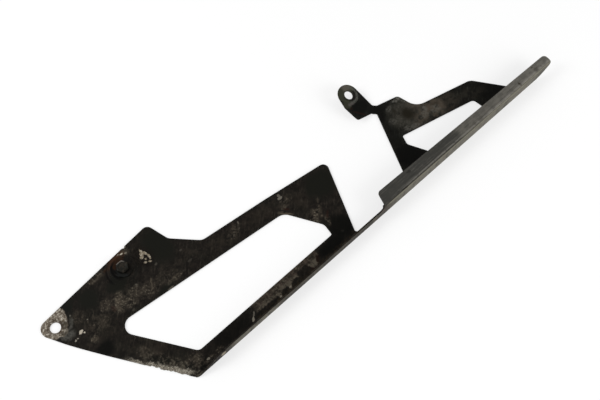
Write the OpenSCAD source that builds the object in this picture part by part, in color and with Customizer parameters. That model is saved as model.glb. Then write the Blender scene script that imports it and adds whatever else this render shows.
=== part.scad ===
// Motorcycle chain guard, folded from one steel sheet, with the bolt, washer
// and nut that are still on its middle fixing.
// It lies on the outer faces of its side plates. The origin is the centre of
// the end hole on that outer face, +X runs along the folded long edge towards
// the lipped end, +Y across the side plates, +Z towards the inner side.

/* [Sheet] */
// Thickness of the steel sheet
sheet_t = 1.5; // [1:0.1:2]
// Inside radius of the folds
fold_r = 1.5; // [1:0.1:2.5]
// Distance from the end hole to the outer face of the folded edge
edge_offset = 118; // [112:1:124]
// Height of the lipped edge over the outer face of the plates
channel_h = 18; // [14:0.5:24]
// How far the plain flange stays below the lip
flange_drop = 4.5; // [4:0.5:8]
// Width of sheet left along the fold between the two plates
bridge_w = 4.5; // [4.5:0.5:8]

/* [Lip] */
// Where the lip starts, from the end hole
lip_start = 285; // [276:1:292]
// Where the lip ends, from the end hole
lip_end = 506; // [500:1:509]
// Width of the lip at its start
lip_w_start = 15.2; // [12:0.2:20]
// Width of the lip at its end
lip_w_end = 9.4; // [8:0.2:13]
// Radius of the lip's corners
lip_corner_r = 4; // [2:0.1:4.4]
// How far the lip's first end leans along its length
lip_lean = 3.6; // [2:0.2:8]
// Length over which the flange climbs to the lip
lip_ramp = 6; // [4:0.5:10]
// Radius of the long cut that runs the upright out at the lipped end
nose_r = 42; // [40:1:60]
// How far past the side plate that cut starts
nose_gap = 5; // [2:0.5:8]

/* [Side plates] */
// Diameter of the end hole
end_hole_d = 9.8; // [8:0.1:11]
// Radius of the plate's tip round the end hole
tip_r = 8; // [5:0.5:9]
// Length over which the flange rises from the plate's corner
flange_run = 25; // [18:1:32]
// Width of the bar between the big window and the folded edge
big_bar_w = 18; // [14:0.5:24]
// Width of the bar between the small window and the folded edge
small_bar_w = 11; // [9:0.5:16]
// Radius of the big window's corner nearest the end hole
window_r = 9; // [6:0.5:11]

/* [Fixing] */
// Distance of the bolt from the end hole, along the guard
bolt_x = 77; // [74:0.5:80]
// Distance of the bolt from the end hole, across the guard
bolt_y = 1.5; // [0:0.5:2]
// Height that the seat under the bolt is pressed up
seat_rise = 3.6; // [3.4:0.1:4.5]
// Diameter of the flat top of that seat
seat_top_d = 23; // [21:0.5:24]
// Diameter of the foot of that seat
seat_foot_d = 29; // [27:0.5:30]
// Diameter of the washer
washer_d = 18; // [15:0.5:20]
// Thickness of the washer
washer_t = 1.2; // [0.8:0.1:1.6]
// Thread diameter of the bolt
bolt_d = 6; // [5:0.5:6.5]
// Width of the bolt head and the nut across the flats
hex_af = 10; // [9:0.5:11]
// Height of the bolt head
head_h = 4; // [3:0.2:4.5]
// Height of the thin nut in the hollow of the seat
nut_h = 3; // [2.4:0.1:3.2]
// How much wider than the thread the holes in sheet and washer are
hole_play = 0.6; // [0.3:0.1:1]

/* [Tab] */
// Diameter of the hole in the bent tab
tab_hole_d = 8.6; // [7:0.1:10]
// Angle at which the tab is bent up
tab_bend = 20; // [10:1:28]
// Width of the neck that carries the tab
neck_w = 8.8; // [8:0.2:10]
// Radius of the tab's round end about its hole
tab_end_r = 11; // [10:0.2:12]
// Distance of the tab's hole from the bend
tab_hole_out = 25.5; // [24:0.5:27]
// Distance of the tab's hole from the middle line of the neck
tab_hole_side = 10; // [8:0.5:11]

/* [Hidden] */
$fn = 96;

// Corners of the plates that the outlines are drawn from
tip_corner = [-17.8, 9.6];
crown_corner = [442.4, -75];
neck_mid = [352.3, -35.1];
neck_turn = 135.5;
neck_root = 2.8;
tab_root = 1.5;
front_slope = 0.634;
rear_slope = 0.745;

fold_out_r = fold_r + sheet_t;
fold_y = fold_out_r - edge_offset;
bridge_y = bridge_w - edge_offset;
flange_h = channel_h - flange_drop;
flange_start = tip_corner.x + (tip_corner.y - fold_y) * front_slope;
plate_end = crown_corner.x + (crown_corner.y - fold_y) * rear_slope;
nose_start = plate_end + nose_gap;
seat_z = seat_rise + sheet_t;
head_z = seat_z + washer_t;
thread_play = 0.1;
bolt_tip_gap = 0.3;
// The tab's stub stays this much inside the neck that it overlaps
seam = 0.05;
// How far a cutting shape reaches past the sheet
cut = 1;

// Degrees per step of a rounded corner
arc_step = 6;

// An outline is a list of corners [x, y, radius]. Each radius becomes an arc
// that touches both sides of its corner.
function turn(a, b, c) = (b.x - a.x) * (c.y - b.y) - (b.y - a.y) * (c.x - b.x);
function towards(a, b) = let (d = [b.x - a.x, b.y - a.y]) d / norm(d);
function half_angle(a, b, c) = acos(max(-1, min(1, towards(b, a) * towards(b, c)))) / 2;
function corner(p, r = 0) = [p.x, p.y, r];
function arc(mid, r, start, sweep) =
    let (n = ceil(abs(sweep) / arc_step))
    [for (i = [0 : n]) mid + r * [cos(start + sweep * i / n), sin(start + sweep * i / n)]];
function corner_arc(a, b, c) =
    let (
        half = half_angle(a, b, c),
        inward = towards(b, a) + towards(b, c),
        mid = [b.x, b.y] + inward / norm(inward) * b[2] / sin(half),
        first = [b.x, b.y] + towards(b, a) * b[2] / tan(half) - mid
    )
    arc(mid, b[2], atan2(first.y, first.x), sign(turn(a, b, c)) * (180 - 2 * half));
function rounded(corners) =
    let (n = len(corners))
    [
        for (i = [0 : n - 1])
            let (a = corners[(i + n - 1) % n], b = corners[i], c = corners[(i + 1) % n])
            each b[2] > 0 ? corner_arc(a, b, c) : [[b.x, b.y]]
    ];

// Place a point given from the middle of the neck: out along the tab, and
// to its side
function at_neck(out, side) =
    neck_mid + out * [cos(neck_turn), sin(neck_turn)] + side * [sin(neck_turn), -cos(neck_turn)];

// Both side plates and the bridge between them
module plates_outline() {
    polygon(rounded([
        corner(tip_corner, tip_r),
        [flange_start, fold_y, 0],
        [plate_end, fold_y, 0],
        corner(crown_corner, 10),
        [384.2, -59.9, 15],
        [379.1, -39.9, 4],
        corner(at_neck(-neck_root, neck_w / 2), 1.5),
        corner(at_neck(0, neck_w / 2)),
        corner(at_neck(0, -neck_w / 2)),
        corner(at_neck(-neck_root, -neck_w / 2), 1.5),
        [321, bridge_y, 2],
        [252.4, bridge_y, 2],
        [281.5, -43.6, 5.5],
        [212.7, -33.3, 0],
        [146.3, -24.8, 9],
        [124.8, -2.5, 10],
        [118.8, 20.5, 6]
    ]));
}

module big_window() {
    bottom = big_bar_w - edge_offset;
    polygon(rounded([
        [34.3, -33.8, window_r],
        [34.3 + (-33.8 - bottom) * 0.667, bottom, 6],
        [235.6, bottom, 2],
        [237.2, -88.4, 8],
        [217.2, -54.9, 12]
    ]));
}

module small_window() {
    bottom = small_bar_w - edge_offset;
    polygon(rounded([
        [352.6, -73, 2],
        [349.6, -82.2, 4],
        [349.6 + (-82.2 - bottom) * 0.516, bottom, 3],
        [431.4, bottom, 3],
        [429.4, -91.9, 4.5]
    ]));
}

module side_plates() {
    difference() {
        linear_extrude(sheet_t) difference() {
            plates_outline();
            big_window();
            small_window();
        }
        translate([0, 0, -cut]) cylinder(d = end_hole_d, h = sheet_t + 2 * cut);
        translate([bolt_x, bolt_y, -cut]) cylinder(d = seat_foot_d, h = sheet_t + 2 * cut);
    }
}

// The pressed seat under the bolt, turned as one dished ring
module pressed_seat() {
    foot = seat_foot_d / 2;
    top = seat_top_d / 2;
    hole = (bolt_d + hole_play) / 2;
    translate([bolt_x, bolt_y, 0]) rotate_extrude()
        polygon([
            [foot, 0], [foot, sheet_t], [top, seat_z],
            [hole, seat_z], [hole, seat_rise], [top, seat_rise]
        ]);
}

// Section of the long edge: fold, upright and upper fold
module edge_section() {
    module ring(z) {
        translate([fold_y, z]) difference() {
            circle(r = fold_out_r);
            circle(r = fold_r);
        }
    }
    intersection() {
        ring(fold_out_r);
        translate([-edge_offset, 0]) square(fold_out_r);
    }
    intersection() {
        ring(channel_h - fold_out_r);
        translate([-edge_offset, channel_h - fold_out_r]) square(fold_out_r);
    }
    translate([-edge_offset, fold_out_r])
        square([sheet_t, channel_h - 2 * fold_out_r]);
}

// What is left of that section along the guard, seen square on
module edge_side_outline() {
    nose_mid = [nose_start, nose_r];
    nose_sweep = 90 - acos((lip_end - nose_start) / nose_r);
    polygon(rounded([
        [flange_start, 0, 0],
        for (p = arc(nose_mid, nose_r, -90, nose_sweep)) corner(p),
        [lip_end, channel_h, 0],
        [lip_start, channel_h, 0],
        [lip_start - lip_ramp, flange_h, 6],
        [flange_start + flange_run, flange_h, 10]
    ]));
}

module folded_edge() {
    intersection() {
        rotate([90, 0, 90]) linear_extrude(lip_end + cut) edge_section();
        translate([0, fold_y, 0]) rotate([90, 0, 0])
            linear_extrude(fold_out_r + cut) edge_side_outline();
    }
}

// The return lip over the right-hand plate
module lip() {
    translate([0, 0, channel_h - sheet_t]) linear_extrude(sheet_t)
        polygon(rounded([
            [lip_start, fold_y, 0],
            [lip_end, fold_y, 0],
            [lip_end, lip_w_end - edge_offset, lip_corner_r],
            [lip_start + lip_lean, lip_w_start - edge_offset, lip_corner_r]
        ]));
}

// Direction of the straight side from p that touches a circle on its left (1)
// or right (-1)
function side_angle(p, mid, r, side) =
    let (d = mid - p)
    atan2(d.y, d.x) + side * asin(r / norm(d));

// The tab's outline as cut: x runs out from the bend, and the stub before it
// lies in the plate's neck
module tab_outline() {
    hole = [tab_hole_out, -tab_hole_side];
    half_w = neck_w / 2;
    root = [tab_root, -half_w];
    knee = [28.8, 4.5];
    end_from = side_angle(root, hole, tab_end_r, -1) - 90;
    end_to = side_angle(knee, hole, tab_end_r, 1) + 90;
    polygon(rounded([
        [-tab_root, seam - half_w, 0],
        [0, seam - half_w, 0],
        [0, -half_w, 0],
        corner(root, 1.5),
        for (p = arc(hole, tab_end_r, end_from, end_to - end_from)) corner(p),
        corner(knee),
        [15.5, 14.4, 3],
        [tab_root, half_w, 1.5],
        [0, half_w, 0],
        [0, half_w - seam, 0],
        [-tab_root, half_w - seam, 0]
    ]));
}

// Side view of the tab: stub, bend and rise, in one strip of sheet
module tab_side_view() {
    reach = 2 * tab_hole_out;
    steps = 8;
    function on_bend(r, a) = [r * sin(a), -r * cos(a)];
    function rise(r) = on_bend(r, tab_bend) + reach * [cos(tab_bend), sin(tab_bend)];
    polygon([
        [-tab_root, -fold_out_r],
        for (i = [0 : steps]) on_bend(fold_out_r, i * tab_bend / steps),
        rise(fold_out_r),
        rise(fold_r),
        for (i = [steps : -1 : 0]) on_bend(fold_r, i * tab_bend / steps),
        [-tab_root, -fold_r]
    ]);
}

module tab() {
    thick = 4 * fold_out_r;
    translate([neck_mid.x, neck_mid.y, fold_out_r]) rotate([0, 0, neck_turn]) difference() {
        intersection() {
            rotate([90, 0, 0]) linear_extrude(4 * tab_end_r, center = true) tab_side_view();
            rotate([0, -tab_bend, 0]) linear_extrude(thick, center = true) tab_outline();
        }
        rotate([0, -tab_bend, 0]) translate([tab_hole_out, -tab_hole_side, 0])
            cylinder(d = tab_hole_d, h = thick, center = true);
    }
}

module guard_sheet() {
    color([0.17, 0.16, 0.15]) union() {
        side_plates();
        pressed_seat();
        folded_edge();
        lip();
        tab();
    }
}

module hex_prism(h) {
    cylinder(d = hex_af / cos(30), h = h, $fn = 6);
}

module bolt() {
    top_r = 0.475 * hex_af;
    translate([bolt_x, bolt_y, 0]) color([0.36, 0.37, 0.34]) {
        translate([0, 0, bolt_tip_gap]) cylinder(d = bolt_d, h = head_z - bolt_tip_gap + cut);
        translate([0, 0, head_z]) intersection() {
            hex_prism(head_h);
            cylinder(r1 = top_r + head_h / tan(30), r2 = top_r, h = head_h);
        }
    }
}

module washer() {
    translate([bolt_x, bolt_y, seat_z]) color([0.42, 0.36, 0.3]) difference() {
        cylinder(d = washer_d, h = washer_t);
        translate([0, 0, -cut]) cylinder(d = bolt_d + hole_play, h = washer_t + 2 * cut);
    }
}

module nut() {
    translate([bolt_x, bolt_y, seat_rise - nut_h]) color([0.4, 0.38, 0.35]) difference() {
        hex_prism(nut_h);
        translate([0, 0, -cut]) cylinder(d = bolt_d + thread_play, h = nut_h + 2 * cut);
    }
}

guard_sheet();
bolt();
washer();
nut();
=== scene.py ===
import math

import bpy
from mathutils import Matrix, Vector, noise


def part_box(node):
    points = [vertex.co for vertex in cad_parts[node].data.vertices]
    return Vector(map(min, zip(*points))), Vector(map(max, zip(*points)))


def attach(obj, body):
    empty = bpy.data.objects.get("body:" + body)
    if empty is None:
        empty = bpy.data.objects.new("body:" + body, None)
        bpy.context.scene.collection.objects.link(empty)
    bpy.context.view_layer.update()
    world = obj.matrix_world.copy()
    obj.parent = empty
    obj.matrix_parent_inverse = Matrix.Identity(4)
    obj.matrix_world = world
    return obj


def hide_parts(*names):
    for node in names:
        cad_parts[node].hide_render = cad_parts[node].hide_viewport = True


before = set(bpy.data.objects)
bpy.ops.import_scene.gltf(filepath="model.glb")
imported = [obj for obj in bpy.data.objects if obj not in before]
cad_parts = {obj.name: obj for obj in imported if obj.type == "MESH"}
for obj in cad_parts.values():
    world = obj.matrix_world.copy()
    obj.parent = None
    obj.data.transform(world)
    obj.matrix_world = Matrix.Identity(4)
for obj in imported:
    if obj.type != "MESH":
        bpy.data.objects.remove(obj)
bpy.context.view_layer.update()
print("frame loaded:", sorted(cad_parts))


studio = {
    "cameraAt": (-0.0052, -0.3177, 0.8424),
    "cameraLooksAt": (0.2377, -0.0554, 0.0),
    "lens": 60.0,
    "sensor": 36.0,
    "nearest": 0.01,  # the camera shows nothing that is nearer or farther
    "farthest": 200.0,
    "floorSize": 60.0,
    "floorAt": (0.25, -0.05, -0.00005),  # a hair below the guard
    "floorColour": (0.86, 0.86, 0.86),
    "floorGlow": 1.12,  # strength of the white that is mixed in where the floor is seen
    "floorGlowShare": 0.55,
    "overhead": 0.34,  # strength of the room straight above
    "horizon": 0.95,  # strength of the room at the horizon
}


def aim(thing):  # turns the camera or a lamp to the middle of the view
    towards = Vector(studio["cameraLooksAt"]) - thing.location
    thing.rotation_euler = towards.to_track_quat("-Z", "Y").to_euler()


camera = bpy.data.objects.new("camera", bpy.data.cameras.new("camera"))
bpy.context.scene.collection.objects.link(camera)
camera.location = studio["cameraAt"]
aim(camera)
camera.data.lens = studio["lens"]
camera.data.sensor_width = studio["sensor"]
camera.data.clip_start = studio["nearest"]
camera.data.clip_end = studio["farthest"]
bpy.context.scene.camera = camera
bpy.context.scene.view_settings.view_transform = "Standard"


class Wire:  # a value or colour on its way through the nodes
    def __init__(self, net, socket):
        self.net = net
        self.socket = socket

    def maths(self, operation, *values):
        return self.net.node("Math", {"operation": operation}, dict(enumerate(values)))

    def __add__(self, other):
        return self.maths("ADD", self, other)

    def __radd__(self, other):
        return self.maths("ADD", other, self)

    def __sub__(self, other):
        return self.maths("SUBTRACT", self, other)

    def __rsub__(self, other):
        return self.maths("SUBTRACT", other, self)

    def __mul__(self, other):
        return self.maths("MULTIPLY", self, other)

    def __rmul__(self, other):
        return self.maths("MULTIPLY", other, self)

    def __or__(self, other):  # the larger of two masks
        return self.maths("MAXIMUM", self, other)

    def __ror__(self, other):
        return self.maths("MAXIMUM", other, self)

    def __abs__(self):
        return self.maths("ABSOLUTE", self)


class Net:  # the nodes of one material, or of the room
    def __init__(self, tree):
        self.tree = tree
        self.tree.nodes.clear()

    def node(self, kind, settings, inputs, *outputs):  # gives the first output, or those that are named
        made = self.tree.nodes.new("ShaderNode" + kind)
        for key, value in settings.items():
            setattr(made, key, value)
        for key, value in inputs.items():
            socket = made.inputs[key]
            if isinstance(value, Wire):
                self.tree.links.new(value.socket, socket)
            elif isinstance(value, tuple) and len(socket.default_value) == 4:
                socket.default_value = (*value, 1.0)
            else:
                socket.default_value = value
        if not outputs:
            outputs = range(min(1, len(made.outputs)))  # the nodes at the end of a net have none
        wires = [Wire(self, made.outputs[key]) for key in outputs]
        return wires[0] if len(wires) == 1 else wires


def newMaterial(name):
    material = bpy.data.materials.new(name)
    material.use_nodes = True
    return material, Net(material.node_tree)


def tone(red, green, blue):  # a colour as it is read off a screen, 0 to 255
    return tuple(
        v / 12.92 if v <= 0.04045 else ((v + 0.055) / 1.055) ** 2.4
        for v in (red / 255, green / 255, blue / 255)
    )


class Finish:  # layers of wear and dirt, laid one over the other, with places and sizes in mm
    def __init__(self, name, colour, rough, metal, shine):
        self.material, net = newMaterial(name)
        self.node = net.node
        self.colour, self.rough, self.metal, self.shine = tone(*colour), rough, metal, shine
        self.lift = 0.0
        place = self.node("TexCoord", {}, {}, "Object")
        self.mm = self.node("VectorMath", {"operation": "SCALE"}, {0: place, "Scale": 1000.0})
        self.x, self.y, self.z = self.node("SeparateXYZ", {}, {0: self.mm}, "X", "Y", "Z")
        self.flat = self.vector(self.x, self.y, 1.0)

    def vector(self, x, y, z):
        return self.node("CombineXYZ", {}, {0: x, 1: y, 2: z})

    def noise(self, size, detail, rough=0.55, at=None, stretch=None, output="Fac"):
        place = at or self.mm
        if stretch:
            turn, along, across = stretch
            place = self.node(
                "Mapping", {"vector_type": "TEXTURE"},
                {"Vector": place, "Rotation": (0.0, 0.0, math.radians(turn)), "Scale": (along, across, 1.0)},
            )
        return self.node(
            "TexNoise", {"noise_dimensions": "3D"},
            {"Vector": place, "Scale": 1.0 / size, "Detail": detail, "Roughness": rough}, output,
        )

    def moved(self, size, reach, detail=2.0):  # places shifted by noise, for ragged borders
        shift = self.noise(size, detail, output="Color")
        pushed = self.node("VectorMath", {"operation": "MULTIPLY_ADD"},
                           {0: shift, 1: (reach * 2.0, reach * 2.0, 0.0), 2: self.flat})
        return self.node("VectorMath", {"operation": "SUBTRACT"}, {0: pushed, 1: (reach, reach, 0.0)})

    def step(self, value, low, high, top=1.0):  # 0 below low and top above high, or the other way round
        return self.node(
            "MapRange", {"interpolation_type": "SMOOTHSTEP"},
            {"Value": value, "From Min": low, "From Max": high, "To Min": 0.0, "To Max": top},
        )

    def away(self, at, x, y, long, wide, turn=0.0):  # distance from a place, 1 on the ellipse round it
        if turn:
            c, s = math.cos(math.radians(turn)), math.sin(math.radians(turn))
            along = (c / long, s / long, -(x * c + y * s) / long)
            across = (-s / wide, c / wide, (x * s - y * c) / wide)
            inside = self.vector(*(self.node("VectorMath", {"operation": "DOT_PRODUCT"}, {0: at, 1: line}, "Value")
                                   for line in (along, across)), 0.0)
        else:
            inside = self.node("VectorMath", {"operation": "MULTIPLY_ADD"},
                               {0: at, 1: (1.0 / long, 1.0 / wide, 0.0), 2: (-x / long, -y / wide, 0.0)})
        return self.node("VectorMath", {"operation": "LENGTH"}, {0: inside}, "Value")

    def spots(self, at, blots, soft):  # many blots as one mask, each joined to it as soon as it is made
        whole = None
        for x, y, long, wide, *more in blots:
            turn, strength = (*more, *(0.0, 1.0)[len(more):])
            far = self.away(at, x, y, long, wide, turn)
            mask = self.step(far, 1.0 + soft * 0.5, 1.0 - soft * 0.5, strength)
            whole = whole | mask if whole else mask
        return whole

    def ring(self, at, x, y, radius, width, flat=1.0):  # the mark that a washer or collar leaves
        return self.step(abs(self.away(at, x, y, 1.0, flat) - radius), width, width * 0.3)

    def mix(self, mask, first, second):
        return self.node("Mix", {"data_type": "FLOAT"}, {0: mask, 2: first, 3: second})

    def lay(self, mask, colour, rough, metal=None, lift=None):  # lift is in mm
        self.colour = self.node("Mix", {"data_type": "RGBA"}, {0: mask, 6: self.colour, 7: tone(*colour)}, 2)
        self.rough = self.mix(mask, self.rough, rough)
        if metal is not None:
            self.metal = self.mix(mask, self.metal, metal)
        if lift is not None:
            self.lift = self.lift + mask * lift

    def done(self, relief):
        sockets = {
            "Base Color": self.colour, "Roughness": self.rough, "Metallic": self.metal,
            "Specular IOR Level": self.shine,
        }
        if isinstance(self.lift, Wire):
            bump = {"Strength": relief, "Distance": 0.001, "Height": self.lift}
            sockets["Normal"] = self.node("Bump", {}, bump, "Normal")
        self.node("OutputMaterial", {}, {"Surface": self.node("BsdfPrincipled", {}, sockets)})
        return self.material


guardFinish = {  # colours as they are read off a screen
    "grime": (26, 23, 20),  # brown black that covers the inner side
    "grimeCool": (23, 23, 19),  # smoother grey green patches in it
    "grimeDeep": (11, 11, 9),  # wet black, low on the plates
    "grimeBlotch": (17, 15, 13),
    "grimeGrain": (16, 15, 12),
    "grimeStreak": (17, 15, 12),
    "light": ((41, 36, 31), (46, 40, 34), (55, 51, 44)),  # its lighter blotches, grains and streaks
    "lightRear": ((30, 30, 27), (38, 38, 34), (52, 52, 47)),
    "grit": (54, 49, 41),
    "soil": (40, 35, 29),  # thicker, lighter soil
    "dust": (74, 67, 57),
    "dustPale": (118, 110, 96),
    "dustDark": (26, 23, 19),
    "chip": (170, 162, 147),  # bare spots where the finish has flaked
    "edge": (82, 78, 70),
    "rust": (52, 32, 18),
    "rustPale": (66, 45, 30),
    "rustDark": (40, 20, 13),

    "mottleDark": (14, 15, 12),  # the slanted front bar
    "mottle": (72, 68, 59),
    "mottlePale": (96, 92, 80),
    "flaked": (100, 94, 83),
    "flakedPale": (178, 171, 157),
    "flakedPit": (40, 35, 28),
    "bare": (120, 111, 99),  # bare metal round the end hole
    "bareWarm": (90, 79, 64),
    "bareCool": (76, 75, 70),
    "bareSoil": (60, 51, 43),
    "bareBright": (176, 170, 158),
    "bareSpeck": (48, 39, 32),
    "bareDull": (54, 51, 44),
    "coolSpeck": (42, 40, 36),
    "greasy": (20, 21, 18),
    "holeRing": (58, 50, 42),
    "washerShadow": (9, 8, 7),  # painted shadow on the plate round the washer, mostly on its left side
    "halo": (24, 20, 15),  # round the flaked spots beside the bolt
    "haloSpeck": (12, 9, 6),
    "flake": (118, 108, 92),

    "barSoil": (42, 35, 23),  # the bar under the big window
    "worn": (45, 40, 34),
    "wornWarm": (70, 60, 53),
    "wornGrain": (80, 74, 63),
    "wornPit": (30, 27, 23),
    "wornSpeck": (104, 96, 86),
    "wornTop": (98, 92, 80),

    "rearSpeck": (12, 12, 11),  # the plate beyond the gap
    "scuff": (58, 56, 50),
    "scuffWarm": (74, 65, 55),
    "scuffGrain": (78, 72, 66),
    "scuffPale": (88, 86, 80),
    "scuffBlotch": (30, 27, 20),
    "olive": (53, 54, 43),  # the tab
    "tabBare": (84, 80, 71),
    "tabScuff": (78, 73, 70),
    "tabRing": (80, 80, 74),
    "tabDark": (26, 24, 20),

    "webGrey": (64, 61, 54),  # the outer side and the upright wall
    "webPale": (101, 98, 87),
    "webDark": (50, 47, 41),
    "webWarm": (90, 78, 70),
    "webGreen": (66, 69, 58),
    "webSpeck": (38, 35, 30),
    "webScratch": (112, 109, 100),
    "columnPale": (106, 101, 86),
    "columnDark": (52, 51, 45),
    "webShade": (44, 42, 37),
    "webRosy": (100, 84, 76),
    "webTop": (44, 42, 36),
    "webChip": (140, 131, 116),
    # painted highlight along the top of the upright wall, by the bend
    "foldHighlight": (124, 121, 108),

    "lipGrey": (66, 65, 61),  # the return lip
    "lipPale": (104, 101, 94),
    "lipEnd": (118, 115, 108),
    "brushPale": (122, 119, 112),
    "brushDark": (50, 50, 47),
    "lipBlotch": (50, 51, 49),
    "lipPit": (34, 33, 30),
    "lipStain": (56, 52, 44),
    "lipRosy": (92, 84, 80),
    "lipSpeck": (46, 47, 44),
    # painted highlight along the lip's bend
    "bendHighlight": (126, 123, 116),
    "bendDark": (24, 22, 17),
}

guardCuts = (134.0, 285.0)  # where the finish of the inner side passes from one material to the next
guardReach = (-20.0, 520.0)  # the whole guard along x, with some room
outerSlot = 3  # the outer side's material, after the three of the inner side
boltAt = (77.0, 1.5)
frontEdgeAt, frontEdgeInward = (12.08, -37.5), (0.8446, 0.5354)  # the slanted front bar's outer edge

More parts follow.
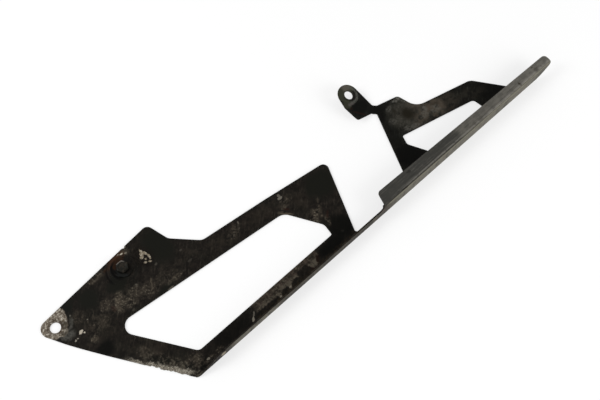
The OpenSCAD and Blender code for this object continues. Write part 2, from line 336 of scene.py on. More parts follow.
guardMarks = {  # x, y, half length, half width in mm, then turn in degrees and strength
    "smooth": [
        (37, 1, 9, 10), (20, 8, 7, 4), (114, -2, 13, 19), (262, -56, 17, 13), (95, -37, 10, 3), (64, -6, 10, 7),
    ],
    "deep": [
        (21.5, -44.5, 8, 7, 30), (110, -106, 20, 9, 0, 0.75), (228, -107, 18, 7), (248, -100, 11, 14, 70),
        (343, -91, 12, 13), (342, -27, 11, 8), (353, -39, 9, 7, -40, 0.8), (450, -93, 17, 11, -35, 0.7),
        (75, -113, 6, 3), (347, -66, 5, 14, -22, 0.5), (349, -43, 7, 11, -30, 0.9), (71, -3, 3, 7, 40, 0.7),
    ],
    "soil": [
        (34, -30, 13, 9, 40, 0.35), (160, -38, 14, 7, -8, 0.6), (200, -42, 18, 7, -8, 0.4),
        (236, -56, 11, 9, 50, 0.5), (128, -25, 8, 9, 0, 0.4), (408, -77, 14, 9, -15, 0.5),
        (50, -70, 9, 20, 33, 0.4),
    ],
    "dusty": [
        (57, -19, 7, 7, 0, 1.0), (62, -26, 6, 5, -30, 0.7), (71, -21, 7, 5, 0, 0.65), (80, -28, 9, 6, -25, 0.5),
        (45, -13, 5, 4, 40, 0.6), (97, -28, 15, 6, -4, 0.22), (106, -36, 9, 2, -3, 0.5),
        (18.5, -31, 3.4, 3.2, 0, 0.8), (30, -22, 12, 7, -20, 0.3), (239, -76, 5.5, 5, 50, 1.0),
        (245, -73, 3, 2, 40, 0.6), (233, -80, 5, 2.4, -55, 0.8), (226, -47, 8, 4, 20, 0.35),
        (222, -50, 4, 3, 30, 0.5), (242, -88, 2, 5, -20, 0.45), (172, -39, 9, 4, 25, 0.4),
        (48, -80, 10, 4.5, -58, 0.2), (57, -96, 11, 5, -58, 0.35), (68, -104, 9, 6, 0, 0.6),
        (43, -70, 5, 7, 33, 0.35), (92, -111, 4, 1.8, 0, 0.7), (80, -112, 6, 2, 0, 0.5), (42, -15, 4, 3, 0, 0.5),
        (87, 14, 5, 4, 20, 0.7), (53, 12, 10, 3, 5, 0.55), (55, -21, 8, 6, 30, 0.75), (20, -6, 5, 7, 40, 0.25),
    ],
    "speck": [
        (14.4, -18, 1.9, 1.4), (13.0, -18.7, 1.2, 0.9), (15.9, -20.6, 0.8, 0.7), (6.0, -21.3, 1.1, 0.8, 30, 0.49),
        (8.4, -21.0, 0.8, 0.6, 0, 0.49), (16.0, 0.0, 0.8, 0.7, 0, 0.16), (25.0, -13.0, 0.8, 0.7, 0, 0.25),
        (84.3, 14.0, 1.5, 1.0), (81.3, 15.4, 1.5, 0.8, 0, 0.36), (88.0, 12.3, 1.2, 1.0, 0, 0.25),
        (90.6, 17.2, 1.2, 0.9, 0, 0.25), (92.0, -116.4, 2.6, 2.0), (79.5, -111.0, 1.7, 1.0, 0, 0.36),
        (131.0, -111.0, 2.4, 1.1, 45, 0.49), (134.6, -107.6, 2.6, 0.8, 48, 0.25), (225.0, -42.0, 2.4, 1.4, 0, 0.3),
        (225.6, -39.4, 1.4, 1.6, 0, 0.22), (181.0, -34.0, 0.6, 1.4, -20, 0.16), (178.0, -39.0, 1.2, 0.5, 20, 0.09),
        (170.0, -41.0, 1.8, 0.5, 40, 0.09), (101.4, -14.2, 1.5, 1.1, 30, 0.08), (76.0, -17.4, 1.0, 1.2, 0, 0.12),
        (126.0, -32.0, 2.6, 1.1, 0, 0.05), (126.0, -19.0, 1.3, 1.1, 0, 0.06), (277.0, -115.8, 2.0, 1.0),
        (162.6, -112.0, 1.3, 1.0, 0, 0.36), (174.8, -111.0, 1.2, 0.9, 0, 0.36), (97.0, -40.4, 3.2, 0.9, -5, 0.16),
        (60.0, -33.6, 1.4, 1.1, 0, 0.05), (46.0, -84.0, 1.2, 0.8, -50, 0.16), (245.0, -104.0, 1.4, 0.8, -30, 0.02),
    ],
    "chipped": [
        (99.0, 4.4, 1.1, 2.0, 10), (97.8, 1.8, 1.9, 1.9), (96.0, -0.8, 1.8, 1.5), (100.6, 0.4, 1.2, 2.2, 15),
        (101.6, -3.8, 1.1, 2.4, -5), (97.6, -4.2, 1.2, 0.9, 30), (95.4, -6.6, 1.6, 0.8, -35),
        (99.2, -8.6, 1.7, 0.8, -40), (101.0, -6.6, 0.9, 0.9),
    ],
    "streak": [
        (72.0, -22.5, 2.2, 0.5, 45, 0.6), (88.4, -22.8, 2.2, 0.8, 50, 0.7), (86.4, -26.5, 3.4, 0.6, 62, 0.7),
        (83.6, -30.2, 1.8, 0.6, 15, 0.7), (249.0, -67.0, 3.0, 0.8, 50, 0.4), (32.0, -12.5, 3.0, 0.4, 42, 0.3),
        (66.5, -19.4, 2.0, 0.5, -30, 0.4), (53.0, -25.5, 0.7, 3.0, 20, 0.5), (218.5, -57.0, 6.5, 1.0, -45, 0.9),
        (216.0, -52.5, 3.0, 0.8, -35, 0.5), (104.0, -34.6, 7.0, 0.8, 3, 0.4),
    ],
    "rusty": [
        (78.0, 14.6, 8.0, 4.2), (70.5, 12.5, 5.0, 2.4, 45, 0.6), (82.5, 11.5, 3.0, 2.0, -40, 0.6),
        (64.5, 11.5, 3.0, 1.6, 40, 0.5),
    ],
    "rustEdge": [
        (69.5, 7.5, 1.0, 4.5, -25, 0.9), (206.0, -109.5, 8.0, 3.2, 30, 0.5), (317.0, -103.0, 1.0, 5.0),
        (337.6, -30.6, 6.6, 0.9, -48, 0.6), (333.6, -22.2, 1.6, 1.6, 0, 0.5), (246.0, -83.0, 4.0, 1.2, 45, 0.5),
        (222.0, -54.0, 3.0, 1.2, -50, 0.6), (48.0, -21.0, 2.0, 3.0, 0, 0.4),
    ],

    "bare": [(-1.0, 1.5, 13.0, 11.0), (8.0, 6.5, 6.6, 9.0), (1.0, -5.5, 7.0, 5.0, -50)],  # round the end hole
    "bareCool": [(3.5, -12.0, 7.0, 4.5, -20)],
    "bareDull": [(8.0, -4.5, 3.5, 6.0, 20), (4.0, -9.5, 4.0, 2.0)],
    "greasy": [(17.0, 5.0, 3.5, 8.0, 0, 0.7)],
    "halo": [(97.5, -1.0, 8.5, 11.0)],

    "worn": [(162.5, -110.4, 2.0, 2.8), (175.0, -110.0, 1.8, 2.4), (205.0, -109.0, 3.8, 3.6)],
    "unworn": [
        (193.5, -108.6, 7.0, 3.8, -8), (167.5, -110.5, 2.4, 2.4), (183.0, -111.0, 6.0, 2.6),
        (212.0, -109.5, 4.0, 4.0),
    ],

    "scuffed": [
        (376, -62, 20, 17, -20), (393, -72, 13, 9, -18), (367, -50, 9, 9, -40, 0.5), (408, -77, 12, 8, -18, 0.2),
        (432, -84, 14, 6, -24, 0.12),
    ],
    "pale": [
        (375.0, -42.0, 5.2, 1.8, -8), (379.0, -46.0, 1.6, 3.6, 10, 0.7), (362.5, -44.5, 3.5, 1.8, 25, 0.45),
        (389.0, -66.5, 2.2, 4.0, 0, 0.6), (384.5, -71.0, 4.0, 3.0, 30, 0.5), (396.0, -74.0, 5.0, 4.0, 0, 0.5),
        (368.0, -74.0, 7.0, 2.2, -13, 0.5), (361.0, -70.5, 3.0, 2.0, 0, 0.5), (357.0, -57.0, 3.0, 4.0, 40, 0.3),
    ],
    "blotch": [
        (372.5, -60.5, 5.2, 8.0, 20), (364.4, -47.8, 1.7, 3.4, -15, 0.7), (380.0, -60.0, 4.0, 3.0, 0, 0.5),
        (398.0, -70.0, 2.0, 4.0, 40, 0.5), (391.0, -79.5, 3.0, 1.6, 0, 0.3),
    ],
    "tab": [(345.0, -3.5, 8.0, 6.0), (336.0, -8.5, 4.5, 9.5), (333.5, -17.5, 3.6, 4.4, 0, 0.8)],
    "tabBare": [(345.5, -2.5, 5.0, 4.6, -20)],
    "tabScuff": [(337.0, -19.0, 4.0, 1.8), (342.0, 0.0, 3.0, 1.6)],

    "lipPit": [(324.0, -107.5, 2.4, 1.3, -12)],
    "lipStain": [
        (465.0, -114.8, 1.1, 2.2), (486.5, -110.4, 1.3, 0.9, 0, 0.7), (494.4, -115.2, 1.2, 1.0, 0, 0.6),
        (488.0, -114.5, 2.6, 2.6, 0, 0.4), (424.0, -109.0, 2.6, 1.2, 0, 0.3), (413.0, -115.5, 4.5, 2.0, 0, 0.4),
        (401.0, -115.5, 6.0, 2.2, 0, 0.35), (458.0, -115.0, 3.5, 2.5, 0, 0.25),
    ],
    "bendDark": [(310.0, -116.5, 4.0, 2.0, 0.0, 0.5), (298.0, -116.5, 6.0, 2.0, 0.0, 0.1)],
}


def guardStart(name, base, rough, metal):
    f = Finish(name, guardFinish[base], rough, metal, 0.05)
    f.ragged = f.moved(1.5, 0.9)
    f.torn = f.moved(4.5, 2.6, 4.0)
    f.drifting = f.moved(15.0, 6.0, 3.0)
    f.fine = f.noise(0.6, 3.0, 0.7)
    f.grain = f.noise(1.9, 4.0, 0.62)
    f.blotch = f.noise(6.0, 5.0, 0.62)
    f.clouds = f.noise(24.0, 3.0, 0.5)
    f.rubbed = f.node("Attribute", {"attribute_name": "rubbed"}, {}, "Fac")
    return f


def guardEnd(f, metal):  # brighter where a corner stands proud
    f.lay(f.rubbed * f.step(f.noise(5.0, 5.0, 0.65), 0.46, 0.62, 0.6), guardFinish["edge"], 0.45, metal)
    return f.done(0.7)


def marksBetween(low, high):  # the marks that reach the stretch between two places along the guard
    spare = 7.0  # how far noise may shift them
    return {
        kind: [blot for blot in blots
               if low < blot[0] + max(blot[2:4]) + spare and blot[0] - max(blot[2:4]) - spare < high]
        for kind, blots in guardMarks.items()
    }


def grimeStart(name, low, high, base="grime", light="light"):  # the inner side between low and high
    c = guardFinish
    f = guardStart(name, base, 0.62, 0.0)
    m = marksBetween(low, high)
    blotchLight, grainLight, streakLight = c[light]
    streaky = f.noise(1.6, 3.0, 0.6, stretch=(42.0, 5.0, 1.0))
    rough = 1 - f.spots(f.drifting, m["smooth"], 0.7)
    f.lay(f.step(f.clouds, 0.46, 0.64, 0.6), c["grimeCool"], 0.55)
    f.lay(1 - rough, c["grimeCool"], 0.42)
    f.lay(f.spots(f.drifting, m["soil"], 0.9) * f.step(f.blotch, 0.3, 0.6), c["soil"], 0.75)
    f.lay(f.step(f.blotch, 0.5, 0.36, 0.7) * rough, c["grimeBlotch"], 0.55)
    f.lay(f.step(f.blotch, 0.5, 0.68, 0.6) * rough, blotchLight, 0.7, lift=0.03)
    f.lay(f.step(f.grain, 0.52, 0.7, 0.5) * rough, grainLight, 0.75, lift=0.04)
    f.lay(f.step(f.grain, 0.44, 0.32, 0.5) * rough, c["grimeGrain"], 0.6)
    f.lay(f.step(f.fine, 0.56, 0.74, 0.3) * rough, c["grit"], 0.75, lift=0.03)
    f.lay(f.step(streaky, 0.47, 0.34, 0.5) * rough, c["grimeStreak"], 0.55)
    f.lay(f.step(streaky, 0.55, 0.7, 0.5) * rough, streakLight, 0.6)
    f.lay(f.spots(f.drifting, m["deep"], 0.8) * 0.9, c["grimeDeep"], 0.38)
    if m["dusty"]:  # dust that has dried in speckles
        dusty = f.spots(f.torn, m["dusty"], 1.0)
        f.lay(dusty * f.step(f.grain * 0.35 + f.blotch * 0.65, 0.36, 0.62, 0.85), c["dust"], 0.88, lift=0.05)
        f.lay(dusty * f.step(f.fine * 0.4 + f.grain * 0.6, 0.52, 0.62, 0.75), c["dustPale"], 0.9, lift=0.06)
        f.lay(dusty * f.step(f.fine * 0.5 + f.grain * 0.5, 0.46, 0.38, 0.4), c["dustDark"], 0.8)
    if m["streak"]:
        f.lay(f.spots(f.ragged, m["streak"], 0.8), c["dust"], 0.85, lift=0.05)
    f.lay(f.spots(f.ragged, m["rustEdge"], 0.8) * 0.8, c["rustDark"], 0.8)
    return f, m, c


def grimeEnd(f, m):
    if m["speck"]:
        specks = f.spots(f.ragged, m["speck"], 0.45) * f.step(f.z, 3.6, 2.6)
        f.lay(specks, guardFinish["chip"], 0.75, lift=0.05)
    return guardEnd(f, 0.3)


def frontMaterial():
    f, m, c = grimeStart("wornBlackFront", guardReach[0], guardCuts[0])
    x, y = f.x, f.y

    # the slanted front bar: flaked along its outer edge, green grey by the corner
    fromEdge = (x - frontEdgeAt[0]) * frontEdgeInward[0] + (y - frontEdgeAt[1]) * frontEdgeInward[1]
    mottled = f.step(fromEdge, 14.0, 5.0) * f.step(y, -62.0, -88.0) * f.step(x, 86.0, 77.0)
    f.lay(mottled * f.step(f.blotch, 0.53, 0.44, 0.8), c["mottleDark"], 0.5)
    f.lay(mottled * f.step(f.grain * 0.4 + f.blotch * 0.6, 0.5, 0.6, 0.75), c["mottle"], 0.8, lift=0.06)
    f.lay(mottled * f.step(f.fine * 0.5 + f.grain * 0.5, 0.54, 0.62, 0.5), c["mottlePale"], 0.85, lift=0.05)
    crustReach = f.step(y, -72.0, -102.0, 3.4) + 0.3
    tornEdge = fromEdge + (f.grain - 0.5) * 8.0 + (f.blotch - 0.5) * 9.0 - crustReach
    flaked = f.step(tornEdge, 1.2, -0.8) * f.step(y, -60.0, -74.0)
    flaked = flaked * f.step(y + (f.blotch - 0.5) * 8.0, -113.0, -109.0)
    f.lay(flaked * 0.9, c["flaked"], 0.85, lift=0.1)
    f.lay(flaked * f.step(f.fine, 0.48, 0.6), c["flakedPale"], 0.9, lift=0.08)
    f.lay(flaked * f.step(f.grain, 0.44, 0.36, 0.8), c["flakedPit"], 0.8, lift=-0.05)

    # bare metal round the end hole, with the grey mark of a washer
    bare = f.spots(f.torn, m["bare"], 0.2)
    f.lay(f.spots(f.torn, m["greasy"], 0.8), c["greasy"], 0.5)
    cool = f.spots(f.torn, m["bareCool"], 0.8)
    cool = cool | f.ring(f.torn, 0.5, 1.0, 14.2, 2.4) * f.step(x - y, 14.0, 19.0, 0.9)
    f.lay(cool * f.step(f.blotch * 0.5 + f.grain * 0.5, 0.38, 0.58, 0.85), c["bareCool"], 0.6)
    f.lay(cool * f.step(f.fine, 0.52, 0.64, 0.35), c["coolSpeck"], 0.7)
    f.lay(bare, c["bare"], 0.5, 0.2, lift=-0.05)
    f.lay(bare * f.step(f.blotch, 0.5, 0.62, 0.8), c["bareWarm"], 0.65, 0.1)
    f.lay(bare * f.step(f.grain, 0.54, 0.68, 0.85), c["bareSoil"], 0.75, 0.0, lift=0.06)
    f.lay(bare * f.step(f.grain, 0.47, 0.38), c["bareBright"], 0.45, 0.2)
    f.lay(bare * f.step(f.fine * 0.6 + f.grain * 0.4, 0.51, 0.6, 0.85), c["bareSpeck"], 0.7, 0.0, lift=0.03)
    f.lay(f.spots(f.torn, m["bareDull"], 0.8) * bare * 0.7, c["bareDull"], 0.6)
    f.lay(f.ring(f.ragged, 0.0, 0.0, 6.2, 1.3) * 0.5, c["holeRing"], 0.6)

    # round the bolt: rust above it, and painted shadow in dark arcs round the washer, mostly on its left side
    leftOfBolt = f.step(x - y * 0.3, 76.0, 68.0) * f.step(y, 13.0, 9.0)
    rusty = f.spots(f.torn, m["rusty"], 1.0)
    f.lay(rusty * f.step(f.blotch, 0.2, 0.4, 0.95), c["rust"], 0.85, lift=0.04)
    f.lay(rusty * f.step(f.grain, 0.54, 0.66, 0.5), c["rustPale"], 0.85)
    # painted shadow: faint all round the washer and dark on its left, with an outer arc at the foot of the seat
    f.lay(f.ring(f.flat, *boltAt, 10.2, 2.0) * (0.08 + leftOfBolt * 0.92), c["washerShadow"], 0.5)
    outerArc = f.ring(f.torn, *boltAt, 15.6, 1.3) * leftOfBolt
    f.lay(outerArc * f.step(y, -6.0, 0.0, 0.8), c["washerShadow"], 0.5)

    # flaked spots beside the bolt
    halo = f.spots(f.torn, m["halo"], 0.8)
    f.lay(halo * f.step(f.grain, 0.6, 0.4, 0.5), c["halo"], 0.7)
    f.lay(halo * f.step(f.fine, 0.49, 0.56, 0.9), c["haloSpeck"], 0.8, lift=-0.04)
    flake = f.spots(f.ragged, m["chipped"], 0.35)
    f.lay(flake, c["flake"], 0.75, lift=-0.06)
    f.lay(flake * f.step(f.fine * 0.5 + f.grain * 0.5, 0.5, 0.6), c["chip"], 0.7)
    return grimeEnd(f, m)


def middleMaterial():
    f, m, c = grimeStart("wornBlackMiddle", *guardCuts)
    x, y, z = f.x, f.y, f.z

    # the bar under the big window, worn to a torn lower border
    barLine = y + (f.noise(7.0, 3.0, at=f.vector(x, 0.0, 0.0)) - 0.5) * 7.0
    worn = f.step(barLine, -109.8, -108.4) * f.step(x, 136.5, 140.0) * f.step(x, 214.0, 211.5)
    worn = worn | f.spots(f.torn, m["worn"], 0.3)
    worn = worn * (1 - f.spots(f.torn, m["unworn"], 0.3))
    worn = worn * f.step(y, -98.0, -99.0) * f.step(z, 0.5, 1.0)
    soiled = f.step(x, 126.0, 130.0) * f.step(x, 262.0, 250.0) * f.step(y, -110.0, -113.0)
    f.lay(soiled * f.step(f.grain, 0.45, 0.6, 0.6), c["barSoil"], 0.7)
    f.lay(worn, c["worn"], 0.7, lift=-0.04)
    f.lay(worn * f.step(f.blotch, 0.44, 0.6, 0.75), c["wornWarm"], 0.75)
    f.lay(worn * f.step(f.grain, 0.5, 0.64, 0.75), c["wornGrain"], 0.75)
    f.lay(worn * f.step(f.grain, 0.46, 0.36, 0.6), c["wornPit"], 0.75)
    f.lay(worn * f.step(f.fine * 0.6 + f.grain * 0.4, 0.54, 0.66, 0.6), c["wornSpeck"], 0.8)
    f.lay(worn * f.step(barLine, -104.5, -107.5) * f.step(f.blotch, 0.4, 0.55, 0.5), c["wornTop"], 0.75)
    return grimeEnd(f, m)


def rearMaterial():
    f, m, c = grimeStart("wornBlackRear", guardCuts[1], guardReach[1], "grimeCool", "lightRear")
    x, y = f.x, f.y
    f.lay(f.step(f.fine, 0.52, 0.62, 0.5), c["rearSpeck"], 0.6)

    # the plate beyond the gap: scuffed to beige, with dark blots
    scuffed = f.spots(f.drifting, m["scuffed"], 0.8)
    f.lay(scuffed * f.step(f.blotch * 0.6 + f.grain * 0.4, 0.24, 0.56, 0.85), c["scuff"], 0.7)
    f.lay(scuffed * f.step(x - y * 0.5, 400.0, 418.0) * f.step(f.blotch, 0.4, 0.55, 0.7), c["scuffWarm"], 0.7)
    f.lay(scuffed * f.step(f.grain, 0.54, 0.66, 0.4), c["scuffGrain"], 0.7)
    f.lay(f.spots(f.drifting, m["blotch"], 1.3), c["scuffBlotch"], 0.6)
    f.lay(f.spots(f.torn, m["pale"], 0.9) * f.step(f.grain, 0.3, 0.6), c["scuffPale"], 0.65)

    # the tab: bare round its hole
    f.lay(f.spots(f.torn, m["tab"], 0.5), c["olive"], 0.6, 0.2)
    f.lay(f.spots(f.torn, m["tabBare"], 0.8), c["tabBare"], 0.5, 0.3)
    f.lay(f.spots(f.torn, m["tabScuff"], 0.8) * 0.8, c["tabScuff"], 0.6)
    ring = f.ring(f.ragged, 341.6, -10.6, 8.4, 1.8, 0.96) * f.step(x - y * 0.6, 346.0, 351.0, 0.85)
    f.lay(ring * f.step(f.grain, 0.3, 0.5), c["tabRing"], 0.5, 0.3, lift=0.04)
    f.lay(f.ring(f.ragged, 342.0, -10.4, 6.2, 1.2) * f.step(y, -8.0, -13.0, 0.55), c["tabDark"], 0.6)
    return grimeEnd(f, m)


def outerMaterial():  # thinned grey, from the plates' outer faces round the folds to the lip
    c, m = guardFinish, guardMarks
    f = guardStart("thinGreyOuter", "webGrey", 0.55, 0.1)
    x, y, z = f.x, f.y, f.z
    upright = f.step(y, -116.9, -117.5)
    lipTop = f.step(z, 17.2, 17.6) * f.step(x, 279.0, 282.0)
    brushed = f.noise(1.1, 4.0, 0.65, stretch=(1.0, 22.0, 1.0))
    scratches = f.noise(0.9, 4.0, 0.7, stretch=(2.0, 14.0, 1.0))
    f.lay(f.step(f.blotch, 0.45, 0.65, 0.6), c["webDark"], 0.65, 0.0)
    f.lay(f.step(f.grain, 0.54, 0.66, 0.5), c["webWarm"], 0.6)
    f.lay(f.step(f.grain, 0.46, 0.36, 0.5), c["webGreen"], 0.6)
    columns = f.noise(7.0, 4.0, 0.6, at=f.vector(x, y * 0.25, z * 0.25))  # long marks down the upright wall
    f.lay(f.step(f.fine, 0.54, 0.66, 0.3), c["webSpeck"], 0.7)
    f.lay(f.step(scratches, 0.56, 0.72, 0.5), c["webPale"], 0.45, 0.2)

    # the upright wall
    paleEnd = upright * f.step(x, 96.0, 108.0) * f.step(x, 165.0, 140.0)
    f.lay(paleEnd * f.step(f.blotch, 0.34, 0.56, 0.8), c["webPale"], 0.5)
    f.lay(upright * f.step(x, 283.0, 300.0, 0.75), c["webPale"], 0.5, 0.15)
    f.lay(upright * f.step(x, 300.0, 340.0) * f.step(scratches, 0.5, 0.62, 0.5), c["webScratch"], 0.45, 0.2)
    f.lay(upright * f.step(columns, 0.54, 0.66, 0.35), c["columnPale"], 0.55)
    f.lay(upright * f.step(columns, 0.5, 0.38, 0.45), c["columnDark"], 0.65)
    f.lay(upright * f.step(x, 150.0, 175.0) * f.step(x, 280.0, 262.0, 0.4), c["webShade"], 0.65)
    f.lay(upright * f.step(f.blotch, 0.54, 0.66, 0.35), c["webRosy"], 0.6)
    f.lay(upright * f.step(z, 13.5, 16.5, 0.5) * f.step(f.clouds, 0.44, 0.56), c["webTop"], 0.65)
    f.lay(f.step(x, 106.0, 92.0) * upright * f.step(f.blotch, 0.3, 0.56), c["grime"], 0.6, 0.0)
    f.lay(f.step(f.away(f.vector(x, z, 1.0), 91.5, 8.2, 2.4, 3.0), 1.25, 0.85), c["webChip"], 0.75, 0.0)

    # the lip, brighter towards its end
    f.lay(lipTop, c["lipGrey"], 0.45, 0.3)
    f.lay(lipTop * f.step(x + (f.clouds - 0.5) * 14.0, 381.0, 392.0), c["lipPale"], 0.42, 0.4)
    f.lay(lipTop * f.step(x, 400.0, 495.0, 0.6), c["lipEnd"], 0.42, 0.4)
    f.lay(lipTop * f.step(brushed, 0.52, 0.68, 0.35), c["brushPale"], 0.38, 0.5)
    f.lay(lipTop * f.step(brushed, 0.46, 0.34, 0.4), c["brushDark"], 0.5)
    f.lay(lipTop * f.step(f.blotch, 0.6, 0.4, 0.3), c["lipBlotch"], 0.5)
    f.lay(f.spots(f.ragged, m["lipPit"], 0.9) * lipTop * 0.7, c["lipPit"], 0.6)
    f.lay(f.spots(f.ragged, m["lipStain"], 0.6) * lipTop * 0.9, c["lipStain"], 0.6)
    f.lay(lipTop * f.step(f.grain, 0.55, 0.66, 0.2), c["lipRosy"], 0.5)
    f.lay(lipTop * f.step(f.fine, 0.53, 0.62, 0.25) * f.step(y, -112.0, -106.0), c["lipSpeck"], 0.6)

    # the bend between the two: a painted highlight along it, and a dark line on its outer side
    bend = f.step(z, 16.4, 16.9) * f.step(x, 282.0, 286.0)
    wavy = y + (f.grain - 0.5) * 0.8
    # painted highlight along the top of the upright wall
    f.lay(upright * f.step(z, 15.2, 16.2) * f.step(x, 284.0, 292.0, 0.7), c["foldHighlight"], 0.45, 0.2)
    # the painted highlight line along the bend
    light = f.step(abs(wavy + 115.4), 0.9, 0.4)
    dark = f.step(abs(wavy + 116.7), 0.7, 0.35)
    f.lay(bend * light * f.step(x, 288.0, 340.0, 0.6) * f.step(f.blotch, 0.3, 0.5), c["bendHighlight"], 0.42, 0.3)
    darkest = f.spots(f.ragged, m["bendDark"], 0.8)
    f.lay(bend * dark * f.step(x, 430.0, 385.0) * (darkest + 0.35), c["bendDark"], 0.6, 0.0)
    return guardEnd(f, 0.4)


meshing = {
    "mergeWithin": 0.000002,
    "flatAngle": 0.8,  # faces that differ by less, in degrees, are joined
    "cutWithin": 0.00001,
}


def deselect():
    if bpy.context.object and bpy.context.object.mode != "OBJECT":
        bpy.ops.object.mode_set(mode="OBJECT")
    bpy.ops.object.select_all(action="DESELECT")


def makeActive(piece):
    deselect()
    piece.select_set(True)
    bpy.context.view_layer.objects.active = piece


def copyOfNode(node, name, materials):  # the node's mesh with its loose triangles joined
    piece = bpy.data.objects.new(name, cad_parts[node].data.copy())
    bpy.context.scene.collection.objects.link(piece)
    makeActive(piece)
    bpy.ops.object.mode_set(mode="EDIT")
    bpy.ops.mesh.select_all(action="SELECT")
    bpy.ops.mesh.remove_doubles(threshold=meshing["mergeWithin"])
    bpy.ops.mesh.dissolve_limited(angle_limit=math.radians(meshing["flatAngle"]))
    bpy.ops.mesh.select_all(action="DESELECT")
    bpy.ops.object.mode_set(mode="OBJECT")
    piece.data.materials.clear()
    for material in materials:
        piece.data.materials.append(material)
    return piece


def roundEdges(piece, shape, slotIndex=-1):
    makeActive(piece)
    bevel = piece.modifiers.new("edges", "BEVEL")
    bevel.width = shape["edgeRound"]
    bevel.segments = shape["edgeSteps"]
    bevel.limit_method = "ANGLE"
    bevel.angle_limit = math.radians(shape["edgeAngle"])
    bevel.use_clamp_overlap = False
    bevel.material = slotIndex
    bpy.ops.object.modifier_apply(modifier=bevel.name)


def smooth(piece, shape):
    makeActive(piece)
    bpy.ops.object.shade_smooth_by_angle(angle=math.radians(shape["smoothAngle"]))
    weighted = piece.modifiers.new("evenShading", "WEIGHTED_NORMAL")
    weighted.keep_sharp = True
    bpy.ops.object.modifier_apply(modifier=weighted.name)


def settle(piece, node):
    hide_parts(node)
    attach(piece, "root")
    print(piece.name + ":", len(piece.data.polygons), "faces")


guard = {
    "edgeRound": 0.00028, "edgeSteps": 2, "edgeAngle": 32.0, "smoothAngle": 32.0,
    "foldRound": 3.0,  # the rest is in mm: outer radius of the folds
    "wallAt": -118.0,  # y of the upright wall's outer face
    "height": 18.0,
    "skin": 0.4,  # how deep a face may lie and still count as outer skin
    "tabSkin": 2.5,  # how far below the tab's bend line its outer skin lies
    "seatHeight": 3.6,  # the pressed seat under the bolt, its outer radius and its slope
    "seatRadius": 14.5,
    "seatSlope": 3.0,
    "seatMark": 17.0,  # no rubbed edges within this radius
    "tabBendAt": (352.3, -35.1, 3.0),
    "tabUp": (0.24395, -0.23973, 0.93969),  # the way that the bent tab's inner side faces
    "crumbled": (46.0, 88.0),  # the flaked stretch of the front edge, along it
    "crumbleEnds": (8.0, 6.0),
    "bow": ((-46.0, 0.0), (-34.0, 0.8), (-24.0, 1.6), (-10.0, 1.95), (15.0, 2.0),
            (40.0, 1.5), (60.0, 1.6), (80.0, 0.8), (94.0, 0.0)),  # along the front edge, and out from it
    "nickAt": (89.5, 18.16),
    "nickInward": (0.0798, -1.0),
    "nickHalfLength": 1.7,
    "nickDepth": 1.2,
}


def isOuter(x, y, z):  # whether a place in mm is on the outer skin of the folded sheet
    if y > -38.0 and x > 325.0 and x - y < 392.0:  # on the tab
        offset = Vector((x, y, z)) - Vector(guard["tabBendAt"])
        return offset.dot(Vector(guard["tabUp"])) < -guard["tabSkin"]
    slope = (guard["seatRadius"] - math.hypot(x - boltAt[0], y - boltAt[1])) / guard["seatSlope"]
    pressed = guard["seatHeight"] * max(0.0, min(1.0, slope))
    fold = guard["foldRound"]
    beyondWall = min(y - guard["wallAt"] - fold, 0.0)
    below = min(z - pressed - fold, 0.0)
    above = max(z - guard["height"] + fold, 0.0)
    return math.hypot(beyondWall, below, above) > fold - guard["skin"]


def crumble(along, z):  # the flaked outer edge of the front bar
    (start, end), (startFade, endFade) = guard["crumbled"], guard["crumbleEnds"]
    ends = max(0.0, min(1.0, (along - start) / startFade, (end - along) / endFade))
    coarse = noise.noise(Vector((along / 2.1, z * 0.6, 4.7)))
    fine = noise.noise(Vector((along, z, 9.0)))
    return ends * (0.55 + 1.1 * coarse + 0.5 * fine)


def bow(along, z):  # the front edge's slight outward curve
    for (start, low), (end, high) in zip(guard["bow"], guard["bow"][1:]):
        if start <= along <= end:
            return -(low + (high - low) * (along - start) / (end - start))
    return 0.0


def nick(along, z):  # the small nick in the upper edge, beyond the bolt
    return max(0.0, 1.0 - abs(along) / guard["nickHalfLength"]) * guard["nickDepth"]


# cuts a strip along a straight edge into steps and pushes each one in by what dent says, in mm
def shapeEdge(piece, at, inward, span, pitch, width, dent):
    edgeLine = Vector((*at, 0.0)) / 1000.0
    inwards = Vector((*inward, 0.0)).normalized()
    onwards = Vector((inwards.y, -inwards.x, 0.0))
    touching, slack, everywhere = 1.2, 0.05, 1000.0

    def inside(place):
        return (place - edgeLine).dot(inwards) * 1000.0

    def cut(reach, place, normal):  # only faces at the edge line, and none that goes further in than reach
        bpy.ops.object.mode_set(mode="OBJECT")
        depths = [inside(vertex.co) for vertex in piece.data.vertices]
        for face in piece.data.polygons:
            own = [depths[i] for i in face.vertices]
            face.select = max(own) < reach and min(abs(depth) for depth in own) < touching
        bpy.ops.object.mode_set(mode="EDIT")
        bpy.ops.mesh.bisect(plane_co=place, plane_no=normal, threshold=meshing["cutWithin"])

    makeActive(piece)
    bpy.ops.object.mode_set(mode="EDIT")
    bpy.ops.mesh.select_mode(type="FACE")
    bpy.ops.mesh.select_all(action="DESELECT")
    cut(everywhere, edgeLine + inwards * (width / 1000.0), inwards)
    for i in range(int((span[1] - span[0]) / pitch) + 1):
        cut(width + 0.01, edgeLine + onwards * ((span[0] + i * pitch) / 1000.0), onwards)
    bpy.ops.mesh.select_all(action="DESELECT")
    bpy.ops.object.mode_set(mode="OBJECT")
    for vertex in piece.data.vertices:
        far, along = inside(vertex.co), (vertex.co - edgeLine).dot(onwards) * 1000.0
        if -1.0 < far < width - slack and span[0] - slack < along < span[1] + slack:
            push = dent(along, vertex.co.z * 1000.0) * (1.0 - far / width) / 1000.0
            vertex.co += inwards * push


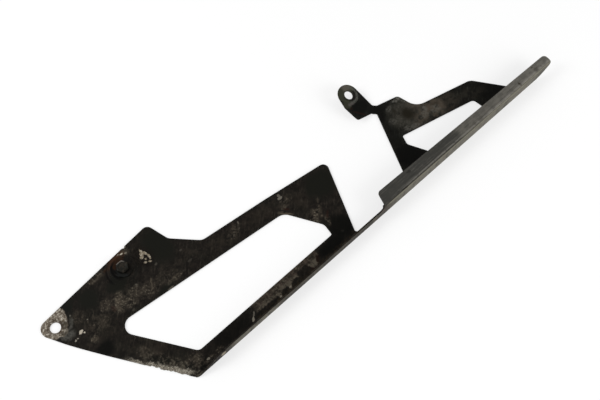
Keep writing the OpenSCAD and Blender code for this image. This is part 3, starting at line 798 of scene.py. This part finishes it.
guardPiece = copyOfNode("guard_sheet", "guardPanel",
                        (frontMaterial(), middleMaterial(), rearMaterial(), outerMaterial()))
print("guard's materials made")
roundEdges(guardPiece, guard, outerSlot)
bowed = (guard["bow"][0][0], guard["bow"][-1][0])
shapeEdge(guardPiece, frontEdgeAt, frontEdgeInward, guard["crumbled"], pitch=1.0, width=3.0, dent=crumble)
shapeEdge(guardPiece, frontEdgeAt, frontEdgeInward, bowed, pitch=4.0, width=4.0, dent=bow)
shapeEdge(guardPiece, guard["nickAt"], guard["nickInward"], (-2.4, 2.4), pitch=0.8, width=2.4, dent=nick)
rubbed = guardPiece.data.attributes.new("rubbed", "FLOAT", "FACE")
for face in guardPiece.data.polygons:
    x, y, z = face.center * 1000.0
    onSeat = math.hypot(x - boltAt[0], y - boltAt[1]) < guard["seatMark"]
    rubbed.data[face.index].value = float(face.material_index == outerSlot and not onSeat)
bpy.ops.object.mode_set(mode="EDIT")
for cutAt in guardCuts:
    bpy.ops.mesh.select_all(action="SELECT")
    bpy.ops.mesh.bisect(plane_co=(cutAt / 1000.0, 0.0, 0.0), plane_no=(1.0, 0.0, 0.0),
                        threshold=meshing["cutWithin"])
bpy.ops.mesh.select_all(action="DESELECT")
bpy.ops.object.mode_set(mode="OBJECT")
for face in guardPiece.data.polygons:
    x, y, z = face.center * 1000.0
    face.material_index = outerSlot if isOuter(x, y, z) else sum(x > cutAt for cutAt in guardCuts)
for vertex in guardPiece.data.vertices:
    vertex.co.z = max(vertex.co.z, 0.0)  # the rounding at the notches stays above the floor
smooth(guardPiece, guard)
settle(guardPiece, "guard_sheet")


fastenerTones = {"grease": (26, 26, 22), "soil": (52, 46, 38), "rust": (44, 29, 19), "black": (11, 10, 9)}

bolt = {
    "edgeRound": 0.00022, "edgeSteps": 2, "edgeAngle": 24.0, "smoothAngle": 30.0,
    "dishInset": 0.0009, "dishSlope": 0.0006, "dishDepth": 0.00045,  # the dished middle of the head
    # the first colour is a painted highlight on the head's rim, the second is soil laid over it
    "steel": (104, 99, 93), "steelSoil": (74, 62, 55),
}


def boltMaterial():
    c = fastenerTones
    f = Finish("greasyBoltSteel", c["grease"], 0.5, 0.1, 0.1)
    grain = f.noise(1.3, 4.0, 0.65)
    blotch = f.noise(4.0, 4.0, 0.6)
    ragged = f.moved(1.2, 0.5)
    f.lay(f.step(blotch, 0.46, 0.64, 0.6), c["soil"], 0.7, 0.0, lift=0.03)
    f.lay(f.step(grain, 0.52, 0.7, 0.5), c["rust"], 0.8, 0.0, lift=0.04)
    f.lay(f.step(grain, 0.46, 0.34, 0.6), c["black"], 0.4, 0.0)
    fromMiddle = f.away(ragged, *boltAt, 1.0, 1.0)
    rim = f.step(fromMiddle, 3.8, 4.3) * f.step(f.y + f.x * 0.3, 27.4, 28.8)  # a painted highlight on the head's rim, on one side only
    f.lay(rim * f.step(f.z, 8.0, 9.0), bolt["steel"], 0.42, 0.35, lift=-0.03)
    f.lay(rim * f.step(f.z, 8.0, 9.0) * f.step(grain, 0.5, 0.62, 0.6), bolt["steelSoil"], 0.6)
    f.lay(f.step(f.z, 8.6, 6.6, 0.8), c["black"], 0.5)  # darker towards the foot of the head, by the washer
    return f.done(0.8)


boltPiece = copyOfNode("bolt", "hexBolt", [boltMaterial()])
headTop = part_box("bolt")[1][2]
for face in boltPiece.data.polygons:
    face.select = face.normal.z > 0.99 and face.center.z > headTop - 0.0001
bpy.ops.object.mode_set(mode="EDIT")
bpy.ops.mesh.select_mode(type="FACE")
bpy.ops.mesh.inset(thickness=bolt["dishInset"], depth=0.0)
bpy.ops.mesh.inset(thickness=bolt["dishSlope"], depth=-bolt["dishDepth"])
bpy.ops.object.mode_set(mode="OBJECT")
roundEdges(boltPiece, bolt)
smooth(boltPiece, bolt)
settle(boltPiece, "bolt")


washer = {
    "edgeRound": 0.0002, "edgeSteps": 2, "edgeAngle": 50.0, "smoothAngle": 30.0,
    "base": (20, 19, 17), "soil": (36, 32, 27), "grain": (34, 28, 23), "rubbed": (27, 28, 27),
    "rubbedMarks": [(70.5, -1.0, 2.6, 6.0, -20), (72.5, -5.5, 4.5, 2.2, -35)],  # as in guardMarks
    "rustMarks": [(77.0, 9.6, 8.5, 2.6), (71.0, 7.0, 2.6, 3.2, 40)],
    # painted shadow: a black crescent along the washer's left rim
    "paintedShadowMarks": [(69.0, 4.5, 1.3, 5.0, 10), (69.5, -4.5, 1.2, 3.5, 35)],
}


def washerMaterial():
    c = fastenerTones
    f = Finish("rustyWasherSteel", washer["base"], 0.65, 0.0, 0.05)
    grain = f.noise(1.5, 4.0, 0.65)
    blotch = f.noise(5.0, 4.0, 0.6)
    torn = f.moved(3.0, 1.4, 3.0)
    f.lay(f.step(blotch, 0.46, 0.66, 0.6), washer["soil"], 0.75, lift=0.03)
    f.lay(f.step(grain, 0.5, 0.68, 0.5), washer["grain"], 0.8, lift=0.05)
    f.lay(f.spots(torn, washer["rubbedMarks"], 0.8), washer["rubbed"], 0.5, 0.1)
    f.lay(f.spots(torn, washer["rustMarks"], 0.8) * 0.9, c["rust"], 0.85, lift=0.05)
    # painted shadow along the washer's left rim
    f.lay(f.spots(torn, washer["paintedShadowMarks"], 0.7) * 0.9, c["black"], 0.4)
    f.lay(f.step(f.away(f.flat, *boltAt, 1.0, 1.0), 6.4, 5.4, 0.9), c["black"], 0.45)  # darker under the head and just round its foot
    return f.done(0.8)


washerPiece = copyOfNode("washer", "flatWasher", [washerMaterial()])
roundEdges(washerPiece, washer)
smooth(washerPiece, washer)
settle(washerPiece, "washer")


nut = {"edgeRound": 0.0003, "edgeSteps": 2, "edgeAngle": 40.0, "smoothAngle": 30.0}


def nutMaterial():
    c = fastenerTones
    f = Finish("greasyNutSteel", c["grease"], 0.55, 0.1, 0.1)
    grain = f.noise(1.3, 4.0, 0.65)
    blotch = f.noise(4.0, 4.0, 0.6)
    f.lay(f.step(blotch, 0.42, 0.62, 0.8), c["soil"], 0.75, 0.0, lift=0.04)
    f.lay(f.step(grain, 0.5, 0.66, 0.7), c["rust"], 0.85, 0.0, lift=0.05)
    f.lay(f.step(grain, 0.44, 0.34, 0.6), c["black"], 0.45, 0.0)
    return f.done(0.8)


nutPiece = copyOfNode("nut", "thinNut", [nutMaterial()])
roundEdges(nutPiece, nut)
smooth(nutPiece, nut)
settle(nutPiece, "nut")


def floorMaterial():  # white where it is seen, and still in shadow under the guard
    material, net = newMaterial("studioFloor")
    direct, glossy, clear = net.node("LightPath", {}, {}, "Is Camera Ray", "Is Glossy Ray", "Is Transmission Ray")
    seen = direct | glossy | clear
    matt = net.node("BsdfDiffuse", {}, {"Color": studio["floorColour"]})
    glow = net.node("Emission", {}, {"Color": (1.0, 1.0, 1.0), "Strength": studio["floorGlow"]})
    both = net.node("MixShader", {}, {0: seen * studio["floorGlowShare"], 1: matt, 2: glow})
    net.node("OutputMaterial", {}, {"Surface": both})
    return material


deselect()
bpy.ops.mesh.primitive_plane_add(size=studio["floorSize"], location=studio["floorAt"])
floor = bpy.context.active_object
floor.name = "studioFloor"
bpy.ops.object.transform_apply(location=True, rotation=True, scale=True)
floor.data.materials.append(floorMaterial())

world = bpy.data.worlds.new("studioRoom")
bpy.context.scene.world = world
world.use_nodes = True
room = Net(world.node_tree)
height = room.node("SeparateXYZ", {}, {0: room.node("TexCoord", {}, {}, "Generated")}, "Z")
shade = room.node("MapRange", {}, {"Value": height, "From Min": 0.1, "From Max": 0.95,
                                   "To Min": studio["horizon"], "To Max": studio["overhead"]})
seen = room.node("LightPath", {}, {}, "Is Camera Ray")
strength = room.node("Mix", {"data_type": "FLOAT"}, {0: seen, 2: shade, 3: 1.0})  # plain white to the camera
background = room.node("Background", {}, {"Color": (1.0, 1.0, 1.0), "Strength": strength})
room.node("OutputWorld", {}, {"Surface": background})

lamps = {
    "keyLamp": {"at": (-0.75, 0.75, 1.15), "size": 0.9, "watts": 14.0},
    "frontLamp": {"at": (0.9, -1.25, 0.7), "size": 0.9, "watts": 10.0},
}
for name, lamp in lamps.items():
    light = bpy.data.objects.new(name, bpy.data.lights.new(name, "AREA"))
    bpy.context.scene.collection.objects.link(light)
    light.location = lamp["at"]
    aim(light)
    light.data.size = lamp["size"]
    light.data.energy = lamp["watts"]
print("studio set up")
